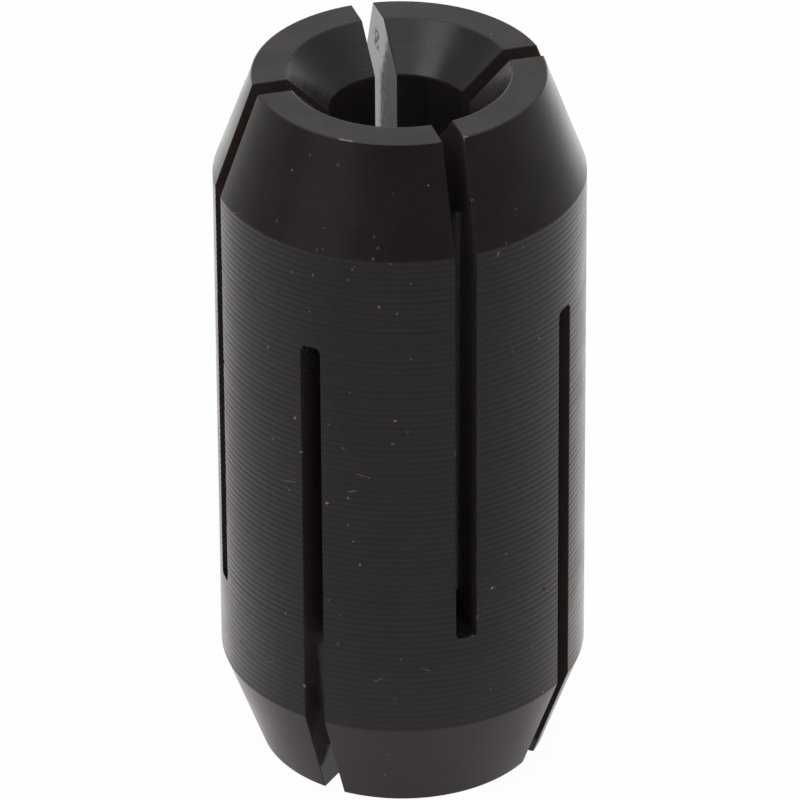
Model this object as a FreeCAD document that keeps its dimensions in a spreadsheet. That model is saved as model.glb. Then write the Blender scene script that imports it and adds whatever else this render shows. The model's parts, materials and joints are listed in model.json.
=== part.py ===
import FreeCAD, Part
import math
import os
import Sketcher

# The collet cone: a slotted spring-steel sleeve that a nut squeezes onto a cutter shank.
# Lengths are in millimetres. The origin is at the centre of the lower end face, and +Z runs along the bore.
# The upper pair of slits runs along X and Y, and the lower pair lies halfway between them.

# Each driving size has its name, its value and its meaning.
SIZES = [
    ("barrel_diameter", "17", "diameter of the straight barrel"),
    ("overall_length", "35", "length from the lower end face to the upper one"),
    ("cone_length", "5", "axial length of the taper at each end"),
    ("cone_half_angle", "20", "angle in degrees between a taper and the axis"),
    ("bore_diameter", "6.35", "bore for a quarter-inch shank"),
    ("countersink_diameter", "10.2", "mouth of the countersink at each end of the bore"),
    ("countersink_half_angle", "45", "angle in degrees between a countersink and the axis"),
    ("slit_width", "1.0", "thickness of the slitting saw"),
    ("slit_corner_radius", "0.25", "rounding that the worn saw leaves along both sides of a slit floor"),
    ("saw_radius", "40", "radius of the slitting saw, so that each slit floor is a shallow arc"),
    ("front_cut_depth", "26.15", "depth on the axis of the upper cut along Y"),
    ("side_cut_depth", "26.5", "depth on the axis of the upper cut along X"),
    ("lower_cut_depth", "25.9", "depth on the axis of both cuts up from the lower end"),
    ("front_cut_offset", "0.37", "how far the upper cut along Y misses the axis, towards +X"),
    ("front_cut_turn", "1.5", "angle in degrees by which it swings from Y"),
    ("side_cut_offset", "0.18", "how far the upper cut along X misses the axis, towards +Y"),
    ("side_cut_turn", "-1.0", "angle in degrees by which it swings from X"),
    ("lower_cut_turn", "45", "angle in degrees from the upper cuts to the lower ones"),
]

RIM_RADIUS = "(Sizes.barrel_diameter / 2 - Sizes.cone_length * tan(Sizes.cone_half_angle * 1 deg))"
SINK_DEPTH = ("((Sizes.countersink_diameter - Sizes.bore_diameter) / 2"
              " / tan(Sizes.countersink_half_angle * 1 deg))")
CORNER_RADIUS = "min(Sizes.slit_corner_radius; 0.45 * Sizes.slit_width)"


def make_sheet(document):
    """Write the driving sizes into a spreadsheet, one named cell each."""
    sheet = document.addObject("Spreadsheet::Sheet", "Sizes")
    for row, (name, value, meaning) in enumerate(SIZES, start=1):
        sheet.set(f"A{row}", name)
        sheet.set(f"B{row}", value)
        sheet.set(f"C{row}", meaning)
        sheet.setAlias(f"B{row}", name)
    document.recompute()


def origin_feature(body, role):
    """Find one of the body's own planes or axes by its role."""
    for feature in body.Origin.OriginFeatures:
        if feature.Role == role:
            return feature
    raise ValueError(f"the body has no {role}")


def add_sketch(body, name, plane):
    """Start a sketch on one of the body's own planes."""
    sketch = body.newObject("Sketcher::SketchObject", name)
    sketch.AttachmentSupport = [(origin_feature(body, plane), "")]
    sketch.MapMode = "FlatFace"
    return sketch


def add_line(sketch, start, end):
    """Draw one straight line and return its number."""
    return sketch.addGeometry(Part.LineSegment(FreeCAD.Vector(*start, 0), FreeCAD.Vector(*end, 0)), False)


def add_quarter_arc(sketch, centre, radius, start):
    """Draw a quarter of a circle counterclockwise from the start angle and return its number."""
    circle = Part.Circle(FreeCAD.Vector(*centre, 0), FreeCAD.Vector(0, 0, 1), radius)
    return sketch.addGeometry(Part.ArcOfCircle(circle, start, start + math.pi / 2), False)


def fix(sketch, kind, *places):
    """Add a constraint that needs no size, such as Horizontal or Tangent."""
    sketch.addConstraint(Sketcher.Constraint(kind, *places))


def evaluate(feature, formula):
    """Work out a formula of the sheet's sizes as a plain number."""
    return float(feature.evalExpression(f"({formula}) * 1"))


def size(sketch, kind, places, formula):
    """Add a constraint whose size is worked out from the sheet."""
    index = sketch.addConstraint(Sketcher.Constraint(kind, *places, evaluate(sketch, formula)))
    sketch.setExpression(f"Constraints[{index}]", formula)


def rest_on_axis(sketch, line, end):
    """Keep one end of a line on the sketch's own H axis, which is its geometry number -1."""
    fix(sketch, "PointOnObject", line, end, -1)


def size_from_axis(sketch, line, end, formula):
    """Set how far one end of a line lies from the sketch's own V axis, towards +X."""
    size(sketch, "DistanceX", (-1, 1, line, end), formula)


def draw_sleeve(body):
    """Draw half the lengthwise section of the sleeve, from its axis outwards."""
    sketch = add_sketch(body, "sleeve_section", "XZ_Plane")
    outer = evaluate(sketch, "Sizes.barrel_diameter / 2")
    rim = evaluate(sketch, RIM_RADIUS)
    mouth = evaluate(sketch, "Sizes.countersink_diameter / 2")
    inner = evaluate(sketch, "Sizes.bore_diameter / 2")
    top = evaluate(sketch, "Sizes.overall_length")
    cone = evaluate(sketch, "Sizes.cone_length")
    sink = evaluate(sketch, SINK_DEPTH)
    corners = [(mouth, 0), (rim, 0), (outer, cone), (outer, top - cone),
               (rim, top), (mouth, top), (inner, top - sink), (inner, sink)]
    lines = [add_line(sketch, start, end) for start, end in zip(corners, corners[1:] + corners[:1])]
    for line, following in zip(lines, lines[1:] + lines[:1]):
        fix(sketch, "Coincident", line, 2, following, 1)
    lower_face, lower_taper, barrel, upper_taper, upper_face, upper_sink, bore, lower_sink = lines
    rest_on_axis(sketch, lower_face, 1)
    for face in (lower_face, upper_face):
        fix(sketch, "Horizontal", face)
    for wall in (barrel, bore):
        fix(sketch, "Vertical", wall)

    size(sketch, "DistanceY", (lower_face, 2, upper_face, 1), "Sizes.overall_length")
    size_from_axis(sketch, barrel, 1, "Sizes.barrel_diameter / 2")
    size_from_axis(sketch, bore, 1, "Sizes.bore_diameter / 2")
    for taper, face, rim_end, mouth_end in ((lower_taper, lower_face, 2, 1), (upper_taper, upper_face, 1, 2)):
        size(sketch, "DistanceY", (taper, 1, taper, 2), "Sizes.cone_length")
        size_from_axis(sketch, face, rim_end, RIM_RADIUS)
        size_from_axis(sketch, face, mouth_end, "Sizes.countersink_diameter / 2")
    size(sketch, "DistanceY", (lower_sink, 2, lower_sink, 1), SINK_DEPTH)
    size(sketch, "DistanceY", (upper_sink, 2, upper_sink, 1), SINK_DEPTH)
    return sketch


def draw_saw(body, name, plane, turn, arbor_height, offset):
    """Draw the section of a slitting saw below its arbor, which is the sketch's own H axis."""
    sketch = add_sketch(body, name, plane)
    swing = FreeCAD.Rotation(FreeCAD.Vector(0, 1, 0), evaluate(sketch, turn))
    sketch.AttachmentOffset = FreeCAD.Placement(FreeCAD.Vector(0, 0, 0), swing)
    sketch.setExpression("AttachmentOffset.Rotation.Angle", turn)
    sketch.setExpression("AttachmentOffset.Base.y", arbor_height)

    width = evaluate(sketch, "Sizes.slit_width")
    radius = evaluate(sketch, "Sizes.saw_radius")
    corner = evaluate(sketch, CORNER_RADIUS)
    right_side = evaluate(sketch, offset) + width / 2
    left_side = right_side - width
    arbor = add_line(sketch, (right_side, 0), (left_side, 0))
    left = add_line(sketch, (left_side, 0), (left_side, corner - radius))
    rim = add_line(sketch, (left_side + corner, -radius), (right_side - corner, -radius))
    right = add_line(sketch, (right_side, corner - radius), (right_side, 0))
    left_teeth = add_quarter_arc(sketch, (left_side + corner, corner - radius), corner, math.pi)
    right_teeth = add_quarter_arc(sketch, (right_side - corner, corner - radius), corner, 1.5 * math.pi)
    fix(sketch, "Coincident", arbor, 2, left, 1)
    fix(sketch, "Tangent", left, 2, left_teeth, 1)
    fix(sketch, "Tangent", left_teeth, 2, rim, 1)
    fix(sketch, "Tangent", rim, 2, right_teeth, 1)
    fix(sketch, "Tangent", right_teeth, 2, right, 1)
    fix(sketch, "Coincident", right, 2, arbor, 1)
    fix(sketch, "Equal", left_teeth, right_teeth)
    rest_on_axis(sketch, arbor, 1)
    fix(sketch, "Horizontal", arbor)
    fix(sketch, "Vertical", left)
    fix(sketch, "Vertical", right)
    fix(sketch, "Horizontal", rim)

    size(sketch, "DistanceX", (arbor, 2, arbor, 1), "Sizes.slit_width")
    size_from_axis(sketch, arbor, 1, f"{offset} + Sizes.slit_width / 2")
    size(sketch, "DistanceY", (rim, 1, arbor, 2), "Sizes.saw_radius")
    size(sketch, "Radius", (left_teeth,), CORNER_RADIUS)
    return sketch


def check_sketch(sketch):
    """Stop when a sketch isn't held by its sizes."""
    if sketch.solve() != 0 or not sketch.FullyConstrained:
        raise ValueError(f"{sketch.Name} isn't fully constrained")


def check_change(name, shape, volume_before, direction):
    """Stop when a feature adds or removes the wrong way, or leaves a broken solid."""
    change = direction * (shape.Volume - volume_before)
    if change <= 0 or not shape.isValid():
        raise ValueError(f"{name} changed the volume by {shape.Volume - volume_before:.2f} mm3")
    print(f"{name}: {shape.Volume:.1f} mm3")


def turn_sleeve(document, body):
    """Turn the barrel, both tapers, the bore and the countersinks in one revolution."""
    sketch = draw_sleeve(body)
    document.recompute()
    check_sketch(sketch)
    sleeve = body.newObject("PartDesign::Revolution", "turned_sleeve")
    sleeve.Profile = sketch
    sleeve.ReferenceAxis = (sketch, ["V_Axis"])
    sleeve.Angle = 360
    document.recompute()
    check_change("turned_sleeve", sleeve.Shape, 0, 1)


def saw_slit(document, body, name, plane, turn, arbor_height, offset):
    """Plunge the slitting saw into the sleeve and return the cut."""
    sketch = draw_saw(body, f"{name}_saw", plane, turn, arbor_height, offset)
    document.recompute()
    check_sketch(sketch)
    volume_before = body.Shape.Volume
    cut = body.newObject("PartDesign::Groove", name)
    cut.Profile = sketch
    cut.ReferenceAxis = (sketch, ["H_Axis"])
    cut.Angle = 360
    document.recompute()
    check_change(name, cut.Shape, volume_before, -1)
    return cut


def cross_slit(document, body, name, cut):
    """Repeat a cut a quarter turn further round the bore."""
    volume_before = body.Shape.Volume
    pattern = body.newObject("PartDesign::PolarPattern", name)
    pattern.Originals = [cut]
    pattern.Axis = (origin_feature(body, "Z_Axis"), [""])
    pattern.Angle = 90
    pattern.Occurrences = 2
    body.Tip = pattern
    document.recompute()
    check_change(name, pattern.Shape, volume_before, -1)


def check_document(document):
    """Stop when any feature is in error, and report what the body holds."""
    for feature in document.Objects:
        if "Invalid" in feature.State or "Error" in feature.State:
            raise ValueError(f"{feature.Name} is {feature.State}")
        if feature.isDerivedFrom("PartDesign::Feature") and feature.Shape.isNull():
            raise ValueError(f"{feature.Name} has no shape")


def main():
    document = FreeCAD.newDocument("collet_cone")
    make_sheet(document)
    body = document.addObject("PartDesign::Body", "collet_cone")
    document.recompute()
    turn_sleeve(document, body)

    saw_slit(document, body, "front_slit", "XZ_Plane", "Sizes.front_cut_turn * 1 deg",
             "Sizes.overall_length - Sizes.front_cut_depth + Sizes.saw_radius", "Sizes.front_cut_offset")
    saw_slit(document, body, "side_slit", "YZ_Plane", "Sizes.side_cut_turn * 1 deg",
             "Sizes.overall_length - Sizes.side_cut_depth + Sizes.saw_radius", "Sizes.side_cut_offset")
    lower_slit = saw_slit(document, body, "lower_slit", "XZ_Plane", "Sizes.lower_cut_turn * 1 deg",
                          "Sizes.lower_cut_depth - Sizes.saw_radius", "0")
    cross_slit(document, body, "lower_slits", lower_slit)
    check_document(document)

    shape = body.Shape
    if not shape.isValid() or len(shape.Solids) != 1:
        raise ValueError(f"the cone is {len(shape.Solids)} solids, valid: {shape.isValid()}")
    box = shape.BoundBox
    print(f"collet_cone: {len(shape.Faces)} faces, {shape.Volume:.1f} mm3, "
          f"x {box.XMin:.2f} to {box.XMax:.2f}, y {box.YMin:.2f} to {box.YMax:.2f}, "
          f"z {box.ZMin:.2f} to {box.ZMax:.2f}")
    os.makedirs("parts", exist_ok=True)
    shape.exportStep(f"parts/{body.Label}.step")


main()
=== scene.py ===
# %% [markdown]
# # A slotted collet cone in black-oxided steel
# A collet cone is turned from a bar in a lathe: a straight barrel, a taper at each end, a bore, and a
# countersink at each mouth of the bore. A thin saw then slits it from both ends, so that it can close on a
# shank, and a hot salt bath blackens it. This script makes the part in the same order: turn the section, saw
# the slits, break the sharp edges, cut the fine turning ridges, blacken it, and let a little dust settle.

# %% Load the frame
import math
import random

import bmesh
import bpy
from mathutils import Matrix, Vector, noise
from mathutils.bvhtree import BVHTree
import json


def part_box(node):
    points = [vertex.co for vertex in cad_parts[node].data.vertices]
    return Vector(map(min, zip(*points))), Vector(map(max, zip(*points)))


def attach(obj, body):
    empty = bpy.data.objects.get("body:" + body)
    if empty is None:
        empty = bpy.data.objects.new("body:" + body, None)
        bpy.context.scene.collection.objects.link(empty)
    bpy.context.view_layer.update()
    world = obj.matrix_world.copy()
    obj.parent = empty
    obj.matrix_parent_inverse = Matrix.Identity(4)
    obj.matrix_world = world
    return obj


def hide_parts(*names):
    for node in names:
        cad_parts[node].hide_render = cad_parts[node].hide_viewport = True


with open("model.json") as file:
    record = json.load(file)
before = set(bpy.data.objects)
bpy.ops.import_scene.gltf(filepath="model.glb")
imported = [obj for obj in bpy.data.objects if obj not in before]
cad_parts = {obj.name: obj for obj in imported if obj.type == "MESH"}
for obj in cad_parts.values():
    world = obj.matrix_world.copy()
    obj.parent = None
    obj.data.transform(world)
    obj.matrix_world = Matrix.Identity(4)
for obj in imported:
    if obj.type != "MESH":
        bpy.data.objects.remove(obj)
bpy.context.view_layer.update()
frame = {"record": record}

MM = 0.001
low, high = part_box("collet_cone")
BARREL_RADIUS = (high.x - low.x) / 2
LENGTH = high.z - low.z
print(f"barrel {2 * BARREL_RADIUS / MM:.2f} mm across, {LENGTH / MM:.2f} mm long")

# %% [markdown]
# ## The turned section
# Half of the lengthwise section is eight points: two for each end face, one at each end of the barrel and one
# at each end of the bore. The lathe leaves no knife edge, so each corner gets a tiny flat, made by a bevel of
# the outline's points while it is still a wire. Spinning that wire once round Z gives the whole sleeve, which
# is quicker and rounder than joining cylinders and cones.

# %% Turn the sleeve
CONE_LENGTH = 5 * MM
CONE_HALF_ANGLE = math.radians(20)
MOUTH_RADIUS = 5.1 * MM
BORE_RADIUS = frame["record"]["mounts"][0]["dims"]["r_mm"] * MM
EDGE_BREAK = 0.045 * MM
TURN_STEPS = 192

RIM_RADIUS = BARREL_RADIUS - CONE_LENGTH * math.tan(CONE_HALF_ANGLE)
SINK_DEPTH = MOUTH_RADIUS - BORE_RADIUS
SECTION = [
    (MOUTH_RADIUS, 0),
    (RIM_RADIUS, 0),
    (BARREL_RADIUS, CONE_LENGTH),
    (BARREL_RADIUS, LENGTH - CONE_LENGTH),
    (RIM_RADIUS, LENGTH),
    (MOUTH_RADIUS, LENGTH),
    (BORE_RADIUS, LENGTH - SINK_DEPTH),
    (BORE_RADIUS, SINK_DEPTH),
]


def turn_sleeve():
    """Spin the section round Z into one closed mesh."""
    bm = bmesh.new()
    corners = [bm.verts.new((radius, 0, height)) for radius, height in SECTION]
    for start, end in zip(corners, corners[1:] + corners[:1]):
        bm.edges.new((start, end))
    bmesh.ops.bevel(bm, geom=corners, offset=EDGE_BREAK, offset_type="OFFSET", segments=1,
                    profile=0.5, affect="VERTICES", material=-1)
    bmesh.ops.spin(bm, geom=bm.verts[:] + bm.edges[:], cent=(0, 0, 0), axis=(0, 0, 1), dvec=(0, 0, 0),
                   angle=2 * math.pi, steps=TURN_STEPS, use_merge=True, use_duplicate=False)
    bmesh.ops.recalc_face_normals(bm, faces=bm.faces[:])
    return bm


def add_object(bm, name):
    """Put a bmesh into a new object of the scene."""
    mesh = bpy.data.meshes.new(name)
    bm.to_mesh(mesh)
    bm.free()
    obj = bpy.data.objects.new(name, mesh)
    bpy.context.scene.collection.objects.link(obj)
    return obj


blank = add_object(turn_sleeve(), "blank")
print(f"turned blank: {len(blank.data.polygons)} faces")

# %% [markdown]
# ## The saw slits
# A slitting saw is a thin disc, 80 mm across, that is fed straight in. Two cuts go down from the upper end
# and two come up from the lower end, half-way between the upper ones. The teeth are worn at their corners,
# so the floor of a slit has rounded edges. The upper cuts miss the axis by a few tenths of a millimetre and are not
# quite square to each other, and that shows on the end face, so it is copied. A disc and a Boolean modifier
# copy the real tool, and they give the shallow arc of each floor for nothing.

# %% Saw the slits
SAW_RADIUS = 40 * MM
SAW_WIDTH = 1.0 * MM
TOOTH_RADIUS = 0.25 * MM
FRONT_DEPTH = 26.15 * MM
SIDE_DEPTH = 26.5 * MM
LOWER_DEPTH = 25.9 * MM
SAW_STEPS = 360


def saw_disc(name, turn, arbor_height, offset):
    """A saw disc whose arbor lies level at a height, swung about Z and moved off the axis."""
    bm = bmesh.new()
    bmesh.ops.create_cone(bm, cap_ends=True, segments=SAW_STEPS, radius1=SAW_RADIUS, radius2=SAW_RADIUS,
                          depth=SAW_WIDTH)
    rim = [edge for edge in bm.edges if any(len(face.verts) > 4 for face in edge.link_faces)]
    bmesh.ops.bevel(bm, geom=rim, offset=TOOTH_RADIUS, offset_type="OFFSET", segments=4,
                    profile=0.5, affect="EDGES", material=-1)
    bmesh.ops.rotate(bm, verts=bm.verts[:], cent=(0, 0, 0), matrix=Matrix.Rotation(math.pi / 2, 3, "Y"))
    bmesh.ops.translate(bm, verts=bm.verts[:], vec=(offset, 0, arbor_height))
    bmesh.ops.rotate(bm, verts=bm.verts[:], cent=(0, 0, 0),
                     matrix=Matrix.Rotation(math.radians(turn), 3, "Z"))
    return add_object(bm, name)


saws = [
    saw_disc("front_saw", 1.5, LENGTH - FRONT_DEPTH + SAW_RADIUS, 0.37 * MM),
    saw_disc("side_saw", 90 - 1.0, LENGTH - SIDE_DEPTH + SAW_RADIUS, 0.18 * MM),
    saw_disc("lower_saw", 45, LOWER_DEPTH - SAW_RADIUS, 0),
    saw_disc("lower_cross_saw", 135, LOWER_DEPTH - SAW_RADIUS, 0),
]


def saw_blank(obj, discs):
    """Cut every disc out of the blank and return the cut mesh, without the tools."""
    for disc in discs:
        cut = obj.modifiers.new(disc.name, "BOOLEAN")
        cut.operation = "DIFFERENCE"
        cut.solver = "EXACT"
        cut.object = disc
    depsgraph = bpy.context.evaluated_depsgraph_get()
    mesh = bpy.data.meshes.new_from_object(obj.evaluated_get(depsgraph))
    for used in [obj, *discs]:
        bpy.data.objects.remove(used)
    bm = bmesh.new()
    bm.from_mesh(mesh)
    bmesh.ops.remove_doubles(bm, verts=bm.verts[:], dist=0.004 * MM)
    return bm


def is_closed(bm):
    """Whether every edge joins exactly two faces."""
    return all(edge.is_manifold for edge in bm.edges)


sleeve_mesh = saw_blank(blank, saws)
print(f"sawn sleeve: {len(sleeve_mesh.faces)} faces, {sleeve_mesh.calc_volume() / MM ** 3:.0f} mm3")

# %% [markdown]
# ## Broken edges
# The saw leaves arrises that tumbling and handling have taken off. A small bevel on every edge sharper than
# fifty degrees does the same. The new faces get a material slot of their own, because an edge wears first.

# %% Break the sawn edges
CUTS = 8
FINE_TURNED, BARREL_TURNED, SAWN, SLIT_FLOOR, BORED, SUNK, ARRIS, RIM = range(CUTS)
SAWN_EDGE_BREAK = 0.03 * MM

arrises = [edge for edge in sleeve_mesh.edges
           if len(edge.link_faces) == 2 and edge.calc_face_angle() > math.radians(50)]
broken = bmesh.ops.bevel(sleeve_mesh, geom=arrises, offset=SAWN_EDGE_BREAK, offset_type="OFFSET",
                         segments=1, profile=0.5, affect="EDGES", clamp_overlap=False, material=-1)
arris_faces = set(broken["faces"])
print(f"{len(arrises)} arrises broken, closed: {is_closed(sleeve_mesh)}")

# %% [markdown]
# ## Surfaces by how they were cut
# The barrel is rough-turned, the tapers and faces are finely turned, the slits are sawn and the bore is
# reamed. Each gets its own material slot, so a face is sorted by where it lies and which way it looks. The
# slit floors, which the tips of the teeth cut, are the dullest of all.

# %% Sort the faces
SIDEWAYS = 0.9
INNERMOST = 1.5 * SINK_DEPTH


def cut_of(face):
    """Which cut made a face: its material slot."""
    centre = face.calc_center_median()
    radius = math.hypot(centre.x, centre.y)
    from_corner = min(math.hypot(radius - corner, centre.z - height) for corner, height in SECTION)
    if face in arris_faces:
        return ARRIS
    if from_corner < EDGE_BREAK:
        return RIM
    outward = Vector((centre.x, centre.y, 0)).normalized()
    across = face.normal.dot(Vector((-outward.y, outward.x, 0)))
    on_barrel = CONE_LENGTH < centre.z < LENGTH - CONE_LENGTH and radius > BARREL_RADIUS - 0.02 * MM
    if on_barrel and face.normal.dot(outward) > 0.99:
        return BARREL_TURNED
    if abs(across) > SIDEWAYS:
        return SAWN
    if abs(radius - BORE_RADIUS) < 0.05 * MM:
        return BORED
    if face.normal.dot(outward) < -0.5:
        return SUNK
    in_wall = radius < BARREL_RADIUS - 0.1 * MM and INNERMOST < centre.z < LENGTH - INNERMOST
    on_taper = face.normal.dot(outward) > 0.8
    return SLIT_FLOOR if in_wall and not on_taper else FINE_TURNED


for face in sleeve_mesh.faces:
    face.material_index = cut_of(face)
counts = [sum(face.material_index == cut for face in sleeve_mesh.faces) for cut in range(CUTS)]
print(f"fine turned, barrel, sawn, slit floor, bored, sunk, arris, rim: {counts} faces")

# %% [markdown]
# ## Turning ridges
# The barrel was turned with a coarse feed of about 0.31 mm, so 80 shallow grooves ring it, and they catch the
# light near the sides. A bump map would fade at the outline, so the ridges are real: the barrel's faces are
# bisected by level planes, four to a ridge, and the rings between two crests are pushed in. The nose of the
# tool is round, so a groove is a shallow bow with a crest on each side, and no two are quite alike. They get
# a little shallower towards the foot.

# %% Score the ridges
RIDGE_COUNT = 80
RINGS_PER_RIDGE = 4
RIDGE_DEPTH = 0.02 * MM
FOOT_SHARE = 0.6
RIDGES_TO_FADE = 90
BARREL_FOOT = CONE_LENGTH + EDGE_BREAK
BARREL_TOP = LENGTH - CONE_LENGTH - EDGE_BREAK
RIDGE_PITCH = (BARREL_TOP - BARREL_FOOT) / RIDGE_COUNT


def score_rings(bm):
    """Divide the barrel's faces by level planes, from the foot up, cutting only what is left each time."""
    left = [face for face in bm.faces if face.material_index == BARREL_TURNED]
    for ring in range(1, RIDGE_COUNT * RINGS_PER_RIDGE):
        height = BARREL_FOOT + ring * RIDGE_PITCH / RINGS_PER_RIDGE
        edges = list(dict.fromkeys(edge for face in left for edge in face.edges))
        verts = list(dict.fromkeys(vert for face in left for vert in face.verts))
        result = bmesh.ops.bisect_plane(bm, geom=left + edges + verts, plane_co=(0, 0, height),
                                        plane_no=(0, 0, 1), dist=1e-7)
        faces = [part for part in result["geom"] if isinstance(part, bmesh.types.BMFace)]
        left = [face for face in faces if face.calc_center_median().z > height]


def cut_grooves(bm, seed=11):
    """Push the rings of points inwards, a groove between every two crests."""
    rng = random.Random(seed)
    depths = [RIDGE_DEPTH * rng.uniform(0.65, 1.2) * min(1, FOOT_SHARE + ridge / RIDGES_TO_FADE)
              for ridge in range(RIDGE_COUNT)]
    moved = {vert for face in bm.faces if face.material_index == BARREL_TURNED for vert in face.verts}
    for vert in moved:
        place = (vert.co.z - BARREL_FOOT) / RIDGE_PITCH
        ridge = min(RIDGE_COUNT - 1, max(0, int(place)))
        across = min(1, max(0, place - ridge))
        dip = depths[ridge] * 4 * across * (1 - across)
        radius = math.hypot(vert.co.x, vert.co.y)
        vert.co.x *= (radius - dip) / radius
        vert.co.y *= (radius - dip) / radius


score_rings(sleeve_mesh)
cut_grooves(sleeve_mesh)
print(f"ridged sleeve: {len(sleeve_mesh.faces)} faces, closed: {is_closed(sleeve_mesh)}")

# %% [markdown]
# ## Frayed slits
# Where the saw crosses the ridges it tears a little steel from each crest, so the edges of the slits are
# slightly ragged. The rings give every slit edge a point at each height, and a level edge leads from it into
# the barrel. Each point slides along that edge by a smooth noise, never past half of it.

# %% Fray the slits
CHIP = 0.075 * MM


def fray_slits(bm):
    """Chip the barrel's edge along each slit and return how many points moved."""
    slides = []
    for vert in bm.verts:
        cuts = {face.material_index for face in vert.link_faces}
        inside = BARREL_FOOT + RIDGE_PITCH / 8 < vert.co.z < BARREL_TOP - RIDGE_PITCH / 8
        if not inside or not {BARREL_TURNED, ARRIS} <= cuts:
            continue
        for edge in vert.link_edges:
            other = edge.other_vert(vert)
            is_level = abs(other.co.z - vert.co.z) < 1e-7
            on_barrel = all(face.material_index == BARREL_TURNED for face in edge.link_faces)
            if is_level and on_barrel:
                chip = CHIP * max(0, noise.noise(vert.co * 1900) + 0.6 * noise.noise(vert.co * 5300))
                span = other.co - vert.co
                slides.append((vert, span.normalized() * min(chip, span.length / 2)))
    for vert, slide in slides:
        vert.co += slide
    return len(slides)


print(f"{fray_slits(sleeve_mesh)} points of the slit edges chipped, closed: {is_closed(sleeve_mesh)}")

# %% [markdown]
# ## The finished piece
# The mesh stands for the CAD node and rides on the one body. Smooth shading lets the ridges read as waves and
# the spun facets as round. It must not blend one cut into the next, or a flat face would look dished, so an
# edge stays crisp where two cuts meet and where the faces turn by more than 28 degrees.

# %% Place the sleeve
CRISP_ANGLE = math.radians(28)
for face in sleeve_mesh.faces:
    face.smooth = True
for edge in sleeve_mesh.edges:
    one_cut = len({face.material_index for face in edge.link_faces}) == 1
    edge.smooth = one_cut and edge.calc_face_angle() < CRISP_ANGLE
sleeve = add_object(sleeve_mesh, "turned_sleeve")
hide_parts("collet_cone")
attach(sleeve, "root")
print(f"{sleeve.name}: {sum(len(p.vertices) - 2 for p in sleeve.data.polygons)} triangles")

# %% [markdown]
# ## The camera
# The photograph was taken with a long lens from 31 degrees above the table. The lens is given in pixels of
# the frame, and Blender wants it as a length against the sensor's width.

# %% Camera
VIEW_AZIMUTH = math.radians(-16.2)
VIEW_ELEVATION = math.radians(31.285)
VIEW_DISTANCE = 45.12 * BARREL_RADIUS
FOCAL_PIXELS = 8309.9
FRAME_PIXELS = 800
AIM_RIGHT = -1.19
AIM_UP = 3.43
ROLL = math.radians(-0.364)

camera_data = bpy.data.cameras.new("camera")
camera_data.sensor_width = 36
camera_data.lens = camera_data.sensor_width * FOCAL_PIXELS / FRAME_PIXELS
camera_data.clip_start = 0.01
camera = bpy.data.objects.new("camera", camera_data)
bpy.context.scene.collection.objects.link(camera)
bpy.context.scene.camera = camera
TOWARD_CAMERA = Vector((math.sin(VIEW_AZIMUTH), -math.cos(VIEW_AZIMUTH), 0))
back = TOWARD_CAMERA * math.cos(VIEW_ELEVATION) + Vector((0, 0, math.sin(VIEW_ELEVATION)))
centre = Vector((0, 0, LENGTH / 2))
camera.location = centre + back * VIEW_DISTANCE
right = Vector((0, 0, 1)).cross(back).normalized()
up = back.cross(right)
pixel = VIEW_DISTANCE / FOCAL_PIXELS
aim = centre + right * AIM_RIGHT * pixel + up * AIM_UP * pixel
look = (aim - camera.location).to_track_quat("-Z", "Y").to_matrix() @ Matrix.Rotation(ROLL, 3, "Z")
camera.rotation_euler = look.to_euler()
print(f"lens {camera_data.lens:.0f} mm at {VIEW_DISTANCE / MM:.0f} mm")

# %% [markdown]
# ## From the photograph to the sleeve
# Dust, fibres and rubbed spots are found at pixels of the photograph. A ray from the camera through such a
# pixel meets the sleeve where the mark lies, and a tree of the sleeve's faces makes that quick.

# %% Pixel to place
sleeve_surface = BVHTree.FromObject(sleeve, bpy.context.evaluated_depsgraph_get())


def on_sleeve(x, y):
    """The point of the sleeve behind a pixel of the photograph, and the way its surface faces."""
    half = FRAME_PIXELS / 2
    ray = look @ Vector(((x - half) / FOCAL_PIXELS, (half - y) / FOCAL_PIXELS, -1))
    point, normal, _, _ = sleeve_surface.ray_cast(camera.location, ray.normalized())
    return point, normal


RUBBED_SPOTS = [on_sleeve(x, y)[0] for x, y in ((342, 141), (349, 142), (464, 137))]
RUB_REACH = 0.26 * MM
print(f"rubbed spots, in mm: {[tuple(round(value / MM, 1) for value in spot) for spot in RUBBED_SPOTS]}")

# %% [markdown]
# ## Black oxide
# The blackened skin is a thin layer of iron oxide with a film of oil: almost black and slightly brown, with a
# plain reflection that stays weak from the front and grows strong at a glancing angle. So the Principled
# shader gets a very dark base, no metal and a low roughness. What makes it look real is small: clouds of
# tone, the fine rings of the lathe tool, dust, and bare steel where an edge is worn. The first three are
# node groups that put out a mask or a height, and each material uses them in its own strength.

# %% Node helpers


def put(tree, socket, value):
    """Link a socket to another, or set it to a number or a colour."""
    if isinstance(value, bpy.types.NodeSocket):
        tree.links.new(value, socket)
    else:
        socket.default_value = value


def add_node(tree, kind, group=None, **inputs):
    """Add a node and fill its inputs by name."""
    node = tree.nodes.new(kind)
    if group:
        node.node_tree = group
    for name, value in inputs.items():
        put(tree, node.inputs[name.replace("_", " ")], value)
    return node


def calc(tree, operation, *values):
    """Add a Math node and return its result."""
    node = tree.nodes.new("ShaderNodeMath")
    node.operation = operation
    for socket, value in zip(node.inputs, values):
        put(tree, socket, value)
    return node.outputs[0]


def measure(tree, operation, first, second=None):
    """Add a Vector Math node that gives a number: a length, a distance or a dot product."""
    node = tree.nodes.new("ShaderNodeVectorMath")
    node.operation = operation
    put(tree, node.inputs[0], first)
    if second is not None:
        put(tree, node.inputs[1], second)
    return node.outputs["Value"]


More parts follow.
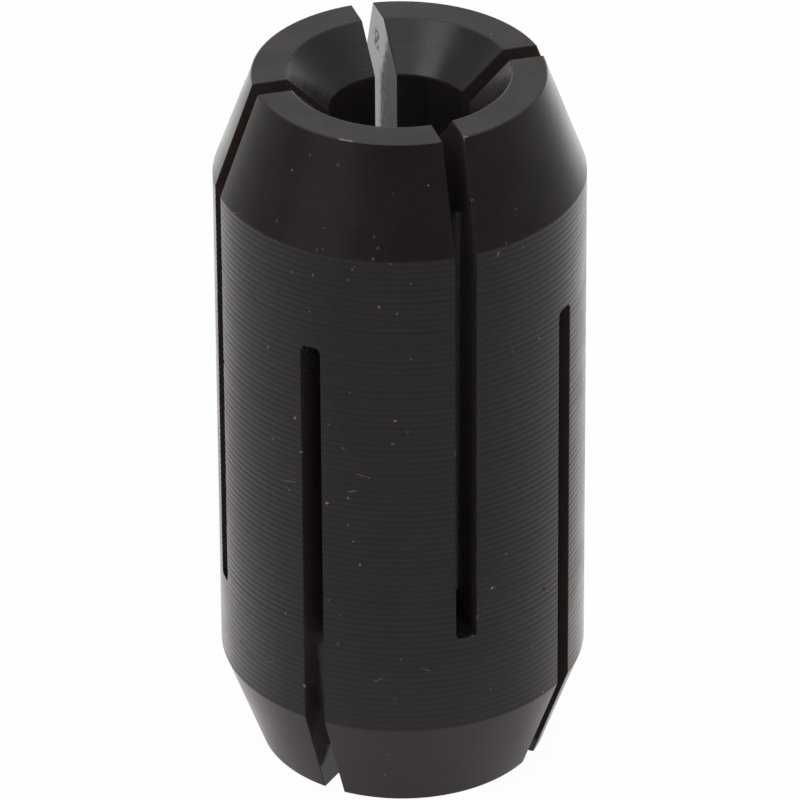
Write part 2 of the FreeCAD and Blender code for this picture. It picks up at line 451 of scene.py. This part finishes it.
def fade(tree, value, start, end, smooth=True):
    """Turn a value into a mask that is 0 at start and 1 at end."""
    node = add_node(tree, "ShaderNodeMapRange", Value=value, From_Min=start, From_Max=end)
    node.interpolation_type = "SMOOTHSTEP" if smooth else "LINEAR"
    return node.outputs["Result"]


def mix_values(tree, mask, under, over):
    """Go from one value to another where a mask says so."""
    node = tree.nodes.new("ShaderNodeMix")
    for index, value in zip((0, 2, 3), (mask, under, over)):
        put(tree, node.inputs[index], value)
    return node.outputs[0]


def mix_colors(tree, mask, under, over):
    """Go from one colour to another where a mask says so."""
    node = tree.nodes.new("ShaderNodeMix")
    node.data_type = "RGBA"
    for index, value in zip((0, 6, 7), (mask, under, over)):
        put(tree, node.inputs[index], value)
    return node.outputs[2]


def new_group(name, inputs, outputs):
    """Start a shader node group with named sockets and return it with its two end nodes."""
    group = bpy.data.node_groups.new(name, "ShaderNodeTree")
    for socket_name, kind in inputs.items():
        group.interface.new_socket(socket_name, in_out="INPUT", socket_type=f"NodeSocket{kind}")
    for socket_name, kind in outputs.items():
        group.interface.new_socket(socket_name, in_out="OUTPUT", socket_type=f"NodeSocket{kind}")
    return group, group.nodes.new("NodeGroupInput"), group.nodes.new("NodeGroupOutput")


# %% [markdown]
# ### Clouds in the oxide
# The salt bath never blackens evenly. A soft noise gives clouds a millimetre or two across, and a fine one
# gives the salt-like grain that the etched skin has close up.

# %% Clouds group


def build_clouds():
    """Clouds of tone and a fine grain, both from 0 to 1."""
    group, enter, leave = new_group("oxide_clouds", {"Position": "Vector", "Scale": "Float"},
                                    {"Clouds": "Float", "Grain": "Float"})
    position, scale = enter.outputs["Position"], enter.outputs["Scale"]
    soft = add_node(group, "ShaderNodeTexNoise", Vector=position, Scale=scale, Detail=3)
    fine = add_node(group, "ShaderNodeTexNoise", Vector=position, Scale=calc(group, "MULTIPLY", scale, 14),
                    Detail=2)
    put(group, leave.inputs["Clouds"], fade(group, soft.outputs[0], 0.35, 0.68))
    put(group, leave.inputs["Grain"], fade(group, fine.outputs[0], 0.3, 0.7))
    return group


clouds_group = build_clouds()
print(f"group {clouds_group.name}")

# %% [markdown]
# ### Tool rings
# Under the ridges every turned face carries rings too fine to model. They run round the axis, so the noise
# only needs one number that grows along the section: the radius plus a share of the height. The share is not
# a round number, so that no face of this part, level, upright or sloping, keeps that sum the same.

# %% Tool rings group


def build_tool_rings():
    """Fine rings round Z, as a height from 0 to 1."""
    group, enter, leave = new_group("tool_rings", {"Position": "Vector", "Scale": "Float"},
                                    {"Height": "Float"})
    flat = add_node(group, "ShaderNodeVectorMath")
    flat.operation = "MULTIPLY"
    put(group, flat.inputs[0], enter.outputs["Position"])
    flat.inputs[1].default_value = (1, 1, 0)
    radius = measure(group, "LENGTH", flat.outputs[0])
    height = add_node(group, "ShaderNodeSeparateXYZ", Vector=enter.outputs["Position"])
    along = calc(group, "MULTIPLY_ADD", height.outputs["Z"], 1.37, radius)
    rings = group.nodes.new("ShaderNodeTexNoise")
    rings.noise_dimensions = "1D"
    put(group, rings.inputs["W"], along)
    put(group, rings.inputs["Scale"], enter.outputs["Scale"])
    rings.inputs["Detail"].default_value = 3
    put(group, leave.inputs["Height"], fade(group, rings.outputs[0], 0.25, 0.75, smooth=False))
    return group


rings_group = build_tool_rings()
print(f"group {rings_group.name}")

# %% [markdown]
# ### Dust
# Fine dust clings to the oil film. A Voronoi texture scatters points through space, and a small ball round
# some of them marks a speck wherever it meets the surface. The cell's own random colour decides which points
# count and how large they are, so the specks differ.

# %% Dust group


def build_dust():
    """Scattered specks, as a mask."""
    inputs = {"Position": "Vector", "Scale": "Float", "Size": "Float", "Share": "Float"}
    group, enter, leave = new_group("settled_dust", inputs, {"Mask": "Float"})
    cells = add_node(group, "ShaderNodeTexVoronoi", Vector=enter.outputs["Position"],
                     Scale=enter.outputs["Scale"])
    chance = add_node(group, "ShaderNodeSeparateColor", Color=cells.outputs["Color"])
    chosen = calc(group, "LESS_THAN", chance.outputs["Red"], enter.outputs["Share"])
    span = calc(group, "MULTIPLY_ADD", chance.outputs["Green"], 0.7, 0.3)
    reach = calc(group, "MULTIPLY", span, enter.outputs["Size"])
    inside = fade(group, calc(group, "DIVIDE", cells.outputs["Distance"], reach), 1.0, 0.6)
    put(group, leave.inputs["Mask"], calc(group, "MULTIPLY", chosen, inside))
    return group


dust_group = build_dust()
print(f"group {dust_group.name}")

# %% [markdown]
# ### The blackened materials
# The tapers, faces, ridges and bore share one recipe with different numbers: the tone of the oxide, how
# rough it is, and how strong the tool rings are. The dust is laid on last, so it hides the gloss below it.

# %% Blackened materials
DUST_COLOR = (0.34, 0.31, 0.28, 1)


def object_position(tree):
    """The position on the piece, which sits at the origin, so it is the position in the frame."""
    return tree.nodes.new("ShaderNodeTexCoord").outputs["Object"]


def blackened(name, tone, cloud_tone, roughness, ring_scale, ring_depth, dust_share, sheen_tint):
    """Black oxide on a turned face, with a slightly warm reflection."""
    material = bpy.data.materials.new(name)
    material.use_nodes = True
    tree = material.node_tree
    shader = tree.nodes["Principled BSDF"]
    position = object_position(tree)
    clouds = add_node(tree, "ShaderNodeGroup", clouds_group, Position=position, Scale=550.0)
    rings = add_node(tree, "ShaderNodeGroup", rings_group, Position=position, Scale=ring_scale)
    dust = add_node(tree, "ShaderNodeGroup", dust_group, Position=position, Scale=1250.0, Size=0.06,
                    Share=dust_share)

    oxide = mix_colors(tree, clouds.outputs["Clouds"], (*tone, 1), (*cloud_tone, 1))
    put(tree, shader.inputs["Base Color"], mix_colors(tree, dust.outputs["Mask"], oxide, DUST_COLOR))
    haze = mix_values(tree, clouds.outputs["Clouds"], roughness, roughness + 0.05)
    salted = calc(tree, "MULTIPLY_ADD", clouds.outputs["Grain"], 0.03, haze)
    put(tree, shader.inputs["Roughness"], mix_values(tree, dust.outputs["Mask"], salted, 0.95))
    relief = calc(tree, "MULTIPLY_ADD", clouds.outputs["Grain"], 0.35, rings.outputs["Height"])
    bump = add_node(tree, "ShaderNodeBump", Height=relief, Distance=ring_depth)
    put(tree, shader.inputs["Normal"], bump.outputs["Normal"])
    shader.inputs["Specular Tint"].default_value = (*sheen_tint, 1)
    return material


fine_turned = blackened("fine_turned_oxide", (0.0095, 0.0068, 0.0064), (0.0135, 0.0090, 0.0077), 0.22,
                        8000.0, 0.0006 * MM, 0.45, (1.0, 0.93, 0.89))
ridged = blackened("ridged_oxide", (0.0092, 0.0072, 0.0076), (0.0130, 0.0094, 0.0092), 0.24,
                   12000.0, 0.0006 * MM, 0.6, (1.0, 0.97, 0.98))
bored = blackened("bored_oxide", (0.022, 0.018, 0.017), (0.029, 0.023, 0.021), 0.34,
                  6000.0, 0.0012 * MM, 0.05, (1.0, 0.97, 0.95))
slit_floor = blackened("slit_floor_oxide", (0.012, 0.008, 0.0078), (0.018, 0.012, 0.011), 0.6,
                       6000.0, 0.0012 * MM, 0.2, (1.0, 0.95, 0.93))
slit_floor.node_tree.nodes["Principled BSDF"].inputs["Specular IOR Level"].default_value = 0.15
sunk = blackened("countersunk_oxide", (0.0095, 0.0068, 0.0064), (0.0135, 0.0090, 0.0077), 0.22,
                 2600.0, 0.0022 * MM, 0.05, (1.0, 0.96, 0.96))
print(f"{fine_turned.name}, {ridged.name}, {bored.name}, {slit_floor.name}, {sunk.name}")

# %% [markdown]
# ### Sawn walls
# The saw leaves the slits smoother than the lathe leaves the rest, so their oxide is thin and glossy. From
# the front they are black, but at a glancing angle they mirror the white table behind the part. A noise makes
# the gloss uneven, and near the top of the rear slit there is one small rusty patch.

# %% Sawn material
RUSTY_SPOT = on_sleeve(376.5, 38)[0]
RUST_REACH = 0.75 * MM
PATCH_SCALE = 2600.0
SAWN_COLOR = (0.050, 0.039, 0.037, 1)
BROWNER_SAWN_COLOR = (0.062, 0.045, 0.041, 1)
RUST_COLOR = (0.070, 0.040, 0.032, 1)


def sawn_oxide(name):
    """Glossy oxide with one rusty patch."""
    material = bpy.data.materials.new(name)
    material.use_nodes = True
    tree = material.node_tree
    shader = tree.nodes["Principled BSDF"]
    position = object_position(tree)
    clouds = add_node(tree, "ShaderNodeGroup", clouds_group, Position=position, Scale=900.0)
    patches = add_node(tree, "ShaderNodeTexNoise", Vector=position, Scale=PATCH_SCALE, Detail=4)
    near_rust = fade(tree, measure(tree, "DISTANCE", position, RUSTY_SPOT), RUST_REACH, RUST_REACH / 2)
    rust = calc(tree, "MULTIPLY", near_rust, fade(tree, patches.outputs[0], 0.56, 0.50))
    oxide = mix_colors(tree, clouds.outputs["Clouds"], SAWN_COLOR, BROWNER_SAWN_COLOR)
    put(tree, shader.inputs["Base Color"], mix_colors(tree, rust, oxide, RUST_COLOR))
    haze = mix_values(tree, fade(tree, patches.outputs[0], 0.40, 0.62), 0.06, 0.14)
    put(tree, shader.inputs["Roughness"], mix_values(tree, rust, haze, 0.45))
    return material


sawn = sawn_oxide("sawn_oxide")
print(sawn.name)

# %% [markdown]
# ### Worn edges
# An edge is the first place to lose its oxide. Most of it is still black and a little rougher than the faces,
# and a noise picks out short stretches that are rubbed to bare steel.

# %% Worn edge material
EDGE_OXIDE_COLOR = (0.012, 0.0085, 0.0078, 1)
BARE_STEEL_COLOR = (0.26, 0.245, 0.235, 1)


def worn_edge(name, roughness, bare_level):
    """Black edge with short bare stretches."""
    material = bpy.data.materials.new(name)
    material.use_nodes = True
    tree = material.node_tree
    shader = tree.nodes["Principled BSDF"]
    position = object_position(tree)
    rubs = add_node(tree, "ShaderNodeTexNoise", Vector=position, Scale=420.0, Detail=5, Roughness=0.62)
    bare = fade(tree, rubs.outputs[0], bare_level, bare_level + 0.06)
    patchy = calc(tree, "ADD", rubs.outputs[0], 0.3)
    for spot in RUBBED_SPOTS:
        rubbed = fade(tree, measure(tree, "DISTANCE", position, spot), RUB_REACH, RUB_REACH / 3)
        bare = calc(tree, "MAXIMUM", bare, calc(tree, "MULTIPLY", rubbed, patchy))
    put(tree, shader.inputs["Base Color"], mix_colors(tree, bare, EDGE_OXIDE_COLOR, BARE_STEEL_COLOR))
    put(tree, shader.inputs["Metallic"], mix_values(tree, bare, 0.0, 0.6))
    put(tree, shader.inputs["Roughness"], mix_values(tree, bare, roughness, 0.5))
    return material


arris = worn_edge("worn_arris", 0.58, 0.68)
rim = worn_edge("worn_rim", 0.42, 0.73)
for material in (fine_turned, ridged, sawn, slit_floor, bored, sunk, arris, rim):
    sleeve.data.materials.append(material)
print(f"materials: {[material.name for material in sleeve.data.materials]}")

# %% [markdown]
# ## Lint
# The larger flecks and a few fibres stand proud of the steel, so they are modelled. Each lies flat where its
# pixel of the photograph puts it: a fleck is a squashed ball, and a fibre is a thin curve. The far side gets
# its own share, scattered by chance.

# %% Where the lint lies
PALE_FLECKS = [
    (273, 438), (301, 452), (397, 314), (393, 444), (348, 525), (360, 565), (506, 554), (492, 588),
    (532, 648), (543, 692), (304.6, 686), (292, 272), (268, 347), (498, 254), (348, 498), (472, 200),
    (313, 275),
]
FAINT_FLECKS = [
    (277, 221), (276, 241), (324, 228), (317, 250), (323, 249), (374, 237), (373, 259), (378, 248),
    (354, 267), (278, 292), (348, 280), (263, 235), (288, 460), (267, 474), (343, 448), (365, 583),
    (247, 531), (522, 653), (506, 662), (491, 689), (401, 659), (348, 720), (338, 644), (395, 699),
    (411, 359), (512, 351), (479, 290), (452, 216), (513, 246), (384, 421), (408, 432), (340, 615),
    (544, 589), (310, 155), (338, 165), (484, 611), (489, 614), (477.6, 617), (376, 681), (506, 243),
    (516, 209),
]
WARM_FLECKS = [(295, 418), (327, 503), (379, 307), (523, 247), (551, 297), (395, 421)]
FIBRES = [
    [(280, 480), (288, 480.5), (296, 482)],
    [(348, 492), (352, 491), (356, 490.5)],
    [(240, 640), (246, 650), (252, 656), (259, 660), (266, 662.5), (273, 661.5)],
    [(373, 682), (378, 680.5), (383, 677.5)],
    [(420, 668), (426, 669), (430, 671)],
    [(496, 257), (498, 254), (500, 251.5)],
    [(489.5, 589.3), (492.5, 588), (495.5, 586.6)],
]
WARM_FIBRES = [
    [(356, 474), (362, 475), (370, 478)],
    [(230, 212), (233, 212.7), (237, 213.4), (241, 213.4)],
    [(251, 293), (252, 297), (253.5, 299)],
]
fleck_count = len(PALE_FLECKS + FAINT_FLECKS + WARM_FLECKS)
print(f"{fleck_count} flecks, {len(FIBRES + WARM_FIBRES)} fibres")

# %% Lint helpers
PALE, FAINT, WARM = range(3)
FIBRE_RADIUS = 0.015 * MM


def add_fleck(bm, point, normal, radius, finish, spin):
    """Lay one squashed ball flat on the surface."""
    squashed = Matrix.Rotation(spin, 4, "Z") @ Matrix.Diagonal((1.15, 0.75, 0.3, 1))
    flat = normal.to_track_quat("Z", "Y").to_matrix().to_4x4() @ squashed
    ball = bmesh.ops.create_icosphere(bm, subdivisions=1, radius=radius,
                                      matrix=Matrix.Translation(point) @ flat)
    for face in {face for vert in ball["verts"] for face in vert.link_faces}:
        face.material_index = finish


def add_fibres(bm, runs, finish):
    """Lay thin curves through rows of surface points and add their mesh."""
    curve = bpy.data.curves.new("fibre", "CURVE")
    curve.dimensions = "3D"
    curve.bevel_depth = FIBRE_RADIUS
    curve.bevel_resolution = 1
    curve.resolution_u = 5
    curve.use_fill_caps = True
    for run in runs:
        spline = curve.splines.new("NURBS")
        spline.points.add(len(run) - 1)
        for knot, (point, normal) in zip(spline.points, run):
            knot.co = (*(point + normal * FIBRE_RADIUS * 0.6), 1)
        spline.order_u = 3
        spline.use_endpoint_u = True
    obj = bpy.data.objects.new("fibre", curve)
    mesh = bpy.data.meshes.new_from_object(obj)
    bpy.data.objects.remove(obj)
    first = len(bm.faces)
    bm.from_mesh(mesh)
    bm.faces.ensure_lookup_table()
    for face in bm.faces[first:]:
        face.material_index = finish


# %% [markdown]
# On the far side chance places the lint. It keeps clear of the four places where the barrel touches the
# corners of its box, so that no fleck makes the part look larger than it is.

# %% Lay the lint
FAR_FLECKS = 60
CLEAR_OF_BOX = 0.16


def far_places(rng, count):
    """Random points on the barrel and tapers that the photograph doesn't show."""
    places = []
    while len(places) < count:
        azimuth = VIEW_AZIMUTH + rng.uniform(0.55, 1.45) * math.pi
        off_axis = azimuth % (math.pi / 2)
        if not CLEAR_OF_BOX < off_axis < math.pi / 2 - CLEAR_OF_BOX:
            continue
        outward = Vector((math.sin(azimuth), -math.cos(azimuth), 0))
        start = outward * 2 * BARREL_RADIUS + Vector((0, 0, rng.uniform(0.02, 0.98) * LENGTH))
        point, normal, _, _ = sleeve_surface.ray_cast(start, -outward)
        if point and math.hypot(point.x, point.y) > RIM_RADIUS:
            places.append((point, normal))
    return places


def lay_lint(seed=23):
    """All flecks and fibres in one bmesh."""
    rng = random.Random(seed)
    bm = bmesh.new()
    for pixels, finish, radius in ((PALE_FLECKS, PALE, 0.088), (FAINT_FLECKS, FAINT, 0.095),
                                   (WARM_FLECKS, WARM, 0.085)):
        for x, y in pixels:
            point, normal = on_sleeve(x, y)
            reach = radius * rng.uniform(0.75, 1.2) * MM
            add_fleck(bm, point, normal, reach, finish, rng.uniform(0, math.pi))
    for index, (point, normal) in enumerate(far_places(rng, FAR_FLECKS)):
        finish = WARM if index % 12 == 0 else (PALE, FAINT)[index % 2]
        add_fleck(bm, point, normal, rng.uniform(0.05, 0.1) * MM, finish, rng.uniform(0, math.pi))
    add_fibres(bm, [[on_sleeve(x, y) for x, y in run] for run in FIBRES], PALE)
    add_fibres(bm, [[on_sleeve(x, y) for x, y in run] for run in WARM_FIBRES], WARM)
    bmesh.ops.remove_doubles(bm, verts=bm.verts[:], dist=0.0005 * MM)
    bmesh.ops.recalc_face_normals(bm, faces=bm.faces[:])
    return bm


def lint_material(name, tone, light_tone):
    """Matt lint, lighter in places."""
    material = bpy.data.materials.new(name)
    material.use_nodes = True
    tree = material.node_tree
    shader = tree.nodes["Principled BSDF"]
    clouds = add_node(tree, "ShaderNodeGroup", clouds_group, Position=object_position(tree), Scale=3000.0)
    put(tree, shader.inputs["Base Color"],
        mix_colors(tree, clouds.outputs["Clouds"], (*tone, 1), (*light_tone, 1)))
    shader.inputs["Roughness"].default_value = 0.9
    return material


lint = add_object(lay_lint(), "settled_lint")
lint.data.materials.append(lint_material("pale_lint", (0.085, 0.083, 0.078), (0.26, 0.25, 0.235)))
lint.data.materials.append(lint_material("faint_lint", (0.035, 0.034, 0.033), (0.085, 0.081, 0.077)))
lint.data.materials.append(lint_material("warm_lint", (0.17, 0.085, 0.065), (0.32, 0.22, 0.19)))
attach(lint, "root")
print(f"{lint.name}: {len(lint.data.polygons)} faces")

# %% [markdown]
# ## The studio
# The part stands on a white table in a white cove, lit from above and behind, with one soft box high on the
# left. The room behind the camera is dark, and that is why the near side of the steel is so black. The table
# is mixed with a plain glow for what the camera sees directly, so that it reads as pure white and still keeps
# a faint shadow. The glow that the steel mirrors is painted light and shade: brightest behind the part and
# close by its sides, and painted greyer and a little warmer towards the camera as the room's shade. A dot
# product over the distance tells how far round it is.

# %% White table
FLOOR_SIZE = 0.22
CAMERA_GLOW = 0.97
MIRRORED_GLOW = 0.8
NEAR_EDGE = 9 * MM
FAR_EDGE = 32 * MM


def white_table():
    """Pale table material with the glow mixed in by kind of ray, and painted light and shade in the glow the steel
    mirrors.
    """
    material = bpy.data.materials.new("white_table")
    material.use_nodes = True
    tree = material.node_tree
    shader = tree.nodes["Principled BSDF"]
    shader.inputs["Base Color"].default_value = (0.9, 0.9, 0.9, 1)
    shader.inputs["Roughness"].default_value = 0.9
    shader.inputs["Specular IOR Level"].default_value = 0
    position = object_position(tree)
    distance = measure(tree, "LENGTH", position)
    facing = calc(tree, "DIVIDE", measure(tree, "DOT_PRODUCT", position, TOWARD_CAMERA), distance)
    # Painted light and shade in the glow the steel mirrors: greyer towards the camera, up to 1.6 behind the part,
    # and up to 1.8 close by its sides and back.
    beside = mix_values(tree, fade(tree, facing, 0.8, -0.3, smooth=False), 0.39, 0.66)
    painted_far_light = mix_values(tree, fade(tree, facing, -0.25, -0.95), beside, 1.6)
    painted_near_light = mix_values(tree, fade(tree, facing, 0.5, -0.7, smooth=False), 0.62, 1.8)
    near = fade(tree, distance, FAR_EDGE, NEAR_EDGE)
    painted_mirror_glow = mix_values(tree, near, painted_far_light, painted_near_light)

    path = tree.nodes.new("ShaderNodeLightPath")
    strength = mix_values(tree, path.outputs["Is Camera Ray"], painted_mirror_glow, 1.0)
    # Painted shade: the mirrored glow is a little warmer everywhere but straight behind the part.
    painted_shade_tint = mix_colors(tree, fade(tree, facing, -0.6, -0.95), (1, 0.95, 0.945, 1), (1, 1, 1, 1))
    seen_tint = mix_colors(tree, path.outputs["Is Camera Ray"], painted_shade_tint, (1, 1, 1, 1))
    glow = add_node(tree, "ShaderNodeEmission", Color=seen_tint, Strength=strength)
    seen = calc(tree, "MULTIPLY", path.outputs["Is Camera Ray"], CAMERA_GLOW)
    share = calc(tree, "MULTIPLY_ADD", path.outputs["Is Glossy Ray"], MIRRORED_GLOW, seen)
    mix = tree.nodes.new("ShaderNodeMixShader")
    put(tree, mix.inputs[0], share)
    put(tree, mix.inputs[1], shader.outputs[0])
    put(tree, mix.inputs[2], glow.outputs[0])
    put(tree, tree.nodes["Material Output"].inputs["Surface"], mix.outputs[0])
    return material


bm = bmesh.new()
bmesh.ops.create_grid(bm, x_segments=1, y_segments=1, size=FLOOR_SIZE / 2)
floor = add_object(bm, "floor")
floor.data.materials.append(white_table())
print(f"table {FLOOR_SIZE} m square")

# %% [markdown]
# ### The cove
# The world is white where the camera looks at it. For the steel it is a function of direction: white at the
# horizon behind the part, falling to a dark room at the camera's side with one dim window on the left, a
# softer white higher up, and bright overhead. Two dot products and a few fades are enough.

# %% Cove
ROOM_LEVEL = 0.14
SIDE_RISE = 0.35
BEHIND_RISE = 1.4
HIGH_LEVEL = 0.45
OVERHEAD_LEVEL = 1.6
WINDOW_LEVEL = 0.26
WINDOW_TURN = math.radians(-47)

window_azimuth = VIEW_AZIMUTH + WINDOW_TURN
TOWARD_WINDOW = Vector((math.sin(window_azimuth), -math.cos(window_azimuth), 0.2)).normalized()


def white_cove():
    """White to the camera, and a cove with a dark front to everything else."""
    world = bpy.data.worlds.new("white_cove")
    bpy.context.scene.world = world
    world.use_nodes = True
    tree = world.node_tree
    background = tree.nodes["Background"]
    direction = tree.nodes.new("ShaderNodeTexCoord").outputs["Generated"]
    facing = measure(tree, "DOT_PRODUCT", direction, TOWARD_CAMERA)
    height = add_node(tree, "ShaderNodeSeparateXYZ", Vector=direction).outputs["Z"]
    away = fade(tree, facing, 1.0, -1.0, smooth=False)
    sides = calc(tree, "MULTIPLY_ADD", away, SIDE_RISE, ROOM_LEVEL)
    room = calc(tree, "MULTIPLY_ADD", calc(tree, "POWER", away, 8.0), BEHIND_RISE, sides)
    beside = measure(tree, "DOT_PRODUCT", direction, TOWARD_WINDOW)
    window = calc(tree, "MULTIPLY", fade(tree, beside, 0.88, 1.0), WINDOW_LEVEL)
    horizon = calc(tree, "ADD", room, window)
    high = mix_values(tree, fade(tree, height, 0.12, 0.55), horizon, HIGH_LEVEL)
    top = mix_values(tree, fade(tree, height, 0.7, 1.0), high, OVERHEAD_LEVEL)
    path = tree.nodes.new("ShaderNodeLightPath")
    put(tree, background.inputs["Strength"], mix_values(tree, path.outputs["Is Camera Ray"], top, 1.0))
    background.inputs["Color"].default_value = (1, 1, 1, 1)


white_cove()
print(f"cove from {ROOM_LEVEL} in front to {ROOM_LEVEL + SIDE_RISE + BEHIND_RISE:.2f} behind")

# %% Soft box
BOX_TURN = math.radians(-55)
BOX_HEIGHT = math.radians(52)
BOX_DISTANCE = 0.8
BOX_SIZE = 0.3
BOX_RADIANCE = 1.5

box_azimuth = VIEW_AZIMUTH + BOX_TURN
toward_box = Vector((math.sin(box_azimuth) * math.cos(BOX_HEIGHT),
                     -math.cos(box_azimuth) * math.cos(BOX_HEIGHT),
                     math.sin(BOX_HEIGHT)))
soft_box = bpy.data.lights.new("soft_box", "AREA")
soft_box.shape = "SQUARE"
soft_box.size = BOX_SIZE
soft_box.energy = BOX_RADIANCE * math.pi * BOX_SIZE ** 2
box_object = bpy.data.objects.new("soft_box", soft_box)
bpy.context.scene.collection.objects.link(box_object)
box_object.location = centre + toward_box * BOX_DISTANCE
box_object.rotation_euler = toward_box.to_track_quat("Z", "Y").to_euler()
print(f"soft box of {soft_box.energy:.2f} W, {BOX_DISTANCE} m away")

# %% Colour
bpy.context.scene.view_settings.view_transform = "Standard"
